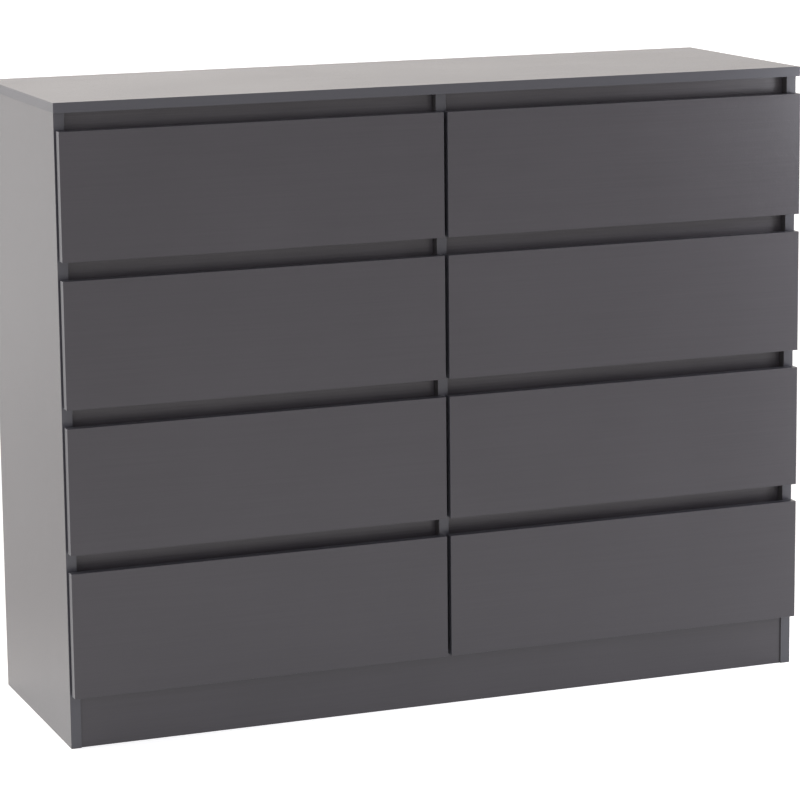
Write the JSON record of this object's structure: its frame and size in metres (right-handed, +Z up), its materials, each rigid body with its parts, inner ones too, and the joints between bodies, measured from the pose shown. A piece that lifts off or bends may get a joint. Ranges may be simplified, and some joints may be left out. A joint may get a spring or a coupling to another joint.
{
  "type": "chest of drawers",
  "caption": "Wide low chest of drawers without handles, two columns of equal fronts with finger gaps, in dark grey foil-faced board.",
  "frame": {"origin": "middle of the footprint, at floor level", "axes": "+X to the right as seen from the front, +Y to the back, +Z up; the drawer fronts face -Y"},
  "size_m": [1.2, 0.396, 0.961],
  "materials": {
    "grey_foil": "dark grey decor foil on particle board, matt with a fine wood pore",
    "drawer_foil": "plain grey foil on the folded drawer sides",
    "hardboard": "raw brown hardboard on the outside, grey printed face towards the drawers",
    "printed_hardboard": "hardboard with a grey printed upper face",
    "runner_nylon": "black moulded runner plastic, slightly waxy",
    "fastener_steel": "bright zinc plate on the screws, cams and nails, which are in the visual model only"
  },
  "bodies": {
    "carcass": {"top_panel": "grey_foil", "side_panel_left": "grey_foil", "side_panel_right": "grey_foil", "centre_divider": "grey_foil", "plinth": "grey_foil", "front_rail_left_1": "grey_foil", "front_rail_left_2": "grey_foil", "front_rail_left_3": "grey_foil", "front_rail_left_4": "grey_foil", "rear_rail_top_left": "grey_foil", "rear_rail_bottom_left": "grey_foil", "back_sheet_left": "hardboard", "runner_left_1_outer": "runner_nylon", "runner_left_1_inner": "runner_nylon", "runner_left_2_outer": "runner_nylon", "runner_left_2_inner": "runner_nylon", "runner_left_3_outer": "runner_nylon", "runner_left_3_inner": "runner_nylon", "runner_left_4_outer": "runner_nylon", "runner_left_4_inner": "runner_nylon", "front_rail_right_1": "grey_foil", "front_rail_right_2": "grey_foil", "front_rail_right_3": "grey_foil", "front_rail_right_4": "grey_foil", "rear_rail_top_right": "grey_foil", "rear_rail_bottom_right": "grey_foil", "back_sheet_right": "hardboard", "runner_right_1_outer": "runner_nylon", "runner_right_1_inner": "runner_nylon", "runner_right_2_outer": "runner_nylon", "runner_right_2_inner": "runner_nylon", "runner_right_3_outer": "runner_nylon", "runner_right_3_inner": "runner_nylon", "runner_right_4_outer": "runner_nylon", "runner_right_4_inner": "runner_nylon"},
    "drawer_left_1": {"drawer_front_left_1": "grey_foil", "drawer_wrap_left_1": "drawer_foil", "drawer_base_left_1": "printed_hardboard"},
    "drawer_left_2": {"drawer_front_left_2": "grey_foil", "drawer_wrap_left_2": "drawer_foil", "drawer_base_left_2": "printed_hardboard"},
    "drawer_left_3": {"drawer_front_left_3": "grey_foil", "drawer_wrap_left_3": "drawer_foil", "drawer_base_left_3": "printed_hardboard"},
    "drawer_left_4": {"drawer_front_left_4": "grey_foil", "drawer_wrap_left_4": "drawer_foil", "drawer_base_left_4": "printed_hardboard"},
    "drawer_right_1": {"drawer_front_right_1": "grey_foil", "drawer_wrap_right_1": "drawer_foil", "drawer_base_right_1": "printed_hardboard"},
    "drawer_right_2": {"drawer_front_right_2": "grey_foil", "drawer_wrap_right_2": "drawer_foil", "drawer_base_right_2": "printed_hardboard"},
    "drawer_right_3": {"drawer_front_right_3": "grey_foil", "drawer_wrap_right_3": "drawer_foil", "drawer_base_right_3": "printed_hardboard"},
    "drawer_right_4": {"drawer_front_right_4": "grey_foil", "drawer_wrap_right_4": "drawer_foil", "drawer_base_right_4": "printed_hardboard"}
  },
  "joints": [
    {"name": "slide_left_1", "type": "slide", "parent": "carcass", "child": "drawer_left_1", "axis": [0, -1, 0], "range_m": [0, 0.25]},
    {"name": "slide_left_2", "type": "slide", "parent": "carcass", "child": "drawer_left_2", "axis": [0, -1, 0], "range_m": [0, 0.25]},
    {"name": "slide_left_3", "type": "slide", "parent": "carcass", "child": "drawer_left_3", "axis": [0, -1, 0], "range_m": [0, 0.25]},
    {"name": "slide_left_4", "type": "slide", "parent": "carcass", "child": "drawer_left_4", "axis": [0, -1, 0], "range_m": [0, 0.25]},
    {"name": "slide_right_1", "type": "slide", "parent": "carcass", "child": "drawer_right_1", "axis": [0, -1, 0], "range_m": [0, 0.25]},
    {"name": "slide_right_2", "type": "slide", "parent": "carcass", "child": "drawer_right_2", "axis": [0, -1, 0], "range_m": [0, 0.25]},
    {"name": "slide_right_3", "type": "slide", "parent": "carcass", "child": "drawer_right_3", "axis": [0, -1, 0], "range_m": [0, 0.25]},
    {"name": "slide_right_4", "type": "slide", "parent": "carcass", "child": "drawer_right_4", "axis": [0, -1, 0], "range_m": [0, 0.25]}
  ]
}
